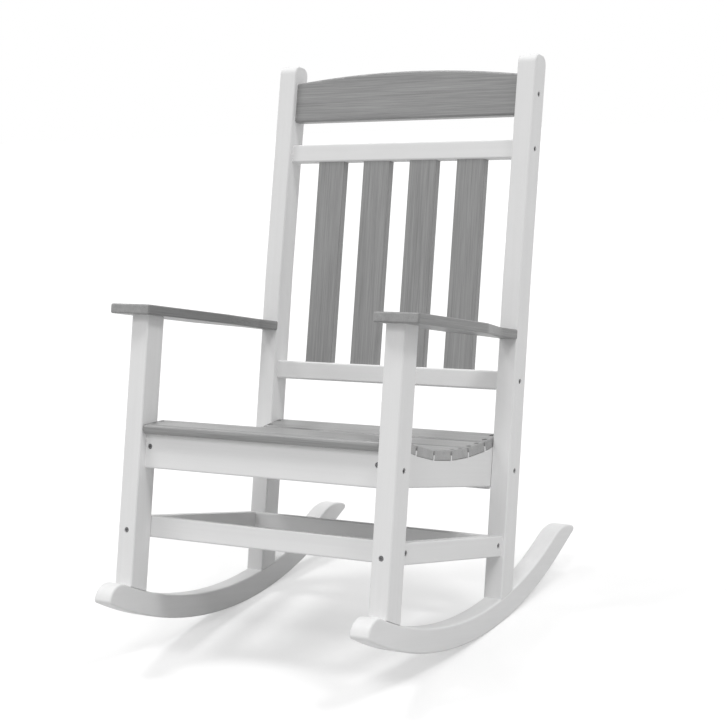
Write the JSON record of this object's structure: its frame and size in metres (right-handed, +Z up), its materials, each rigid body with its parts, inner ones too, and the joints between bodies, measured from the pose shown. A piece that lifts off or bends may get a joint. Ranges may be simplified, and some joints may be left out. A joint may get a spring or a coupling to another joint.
{
  "type": "rocking chair",
  "caption": "Outdoor rocking chair with an upright slatted back, scooped slatted seat, flat armrests and a pair of curved floor rockers.",
  "frame": {"origin": "on the floor, under the middle of the resting chair's bounding box", "axes": "+X across the chair, -Y the way a sitter faces, +Z up; the chair stands leaned back to its balance on a level floor"},
  "size_m": [0.68, 0.8366, 1.0678],
  "materials": {
    "frame": "white solid plastic lumber, satin",
    "boards": "grey solid plastic lumber with an embossed wood grain, matt",
    "screws": "dull stainless steel"
  },
  "bodies": {
    "root": {"apron_screws": "screws", "armrest_front_screws": "screws", "armrest_left": "boards", "armrest_rear_screws": "screws", "armrest_right": "boards", "back_post_left": "frame", "back_post_right": "frame", "back_rail_screws": "screws", "back_slat_1": "boards", "back_slat_2": "boards", "back_slat_3": "boards", "back_slat_4": "boards", "back_stretcher": "frame", "crest_rail": "boards", "cross_stretcher_screws": "screws", "front_leg_left": "frame", "front_leg_right": "frame", "front_stretcher": "frame", "lower_back_rail": "frame", "rocker_left": "frame", "rocker_right": "frame", "rocker_screws": "screws", "seat_front_apron": "frame", "seat_rail_screws": "screws", "seat_rear_rail": "frame", "seat_rear_rail_screws": "screws", "seat_side_rail_left": "frame", "seat_side_rail_right": "frame", "seat_slat_1": "boards", "seat_slat_2": "boards", "seat_slat_3": "boards", "seat_slat_4": "boards", "seat_slat_5": "boards", "seat_slat_6": "boards", "seat_slat_7": "boards", "seat_slat_screws": "screws", "side_stretcher_left": "frame", "side_stretcher_right": "frame", "side_stretcher_screws": "screws", "upper_back_rail": "frame"}
  },
  "joints": []
}
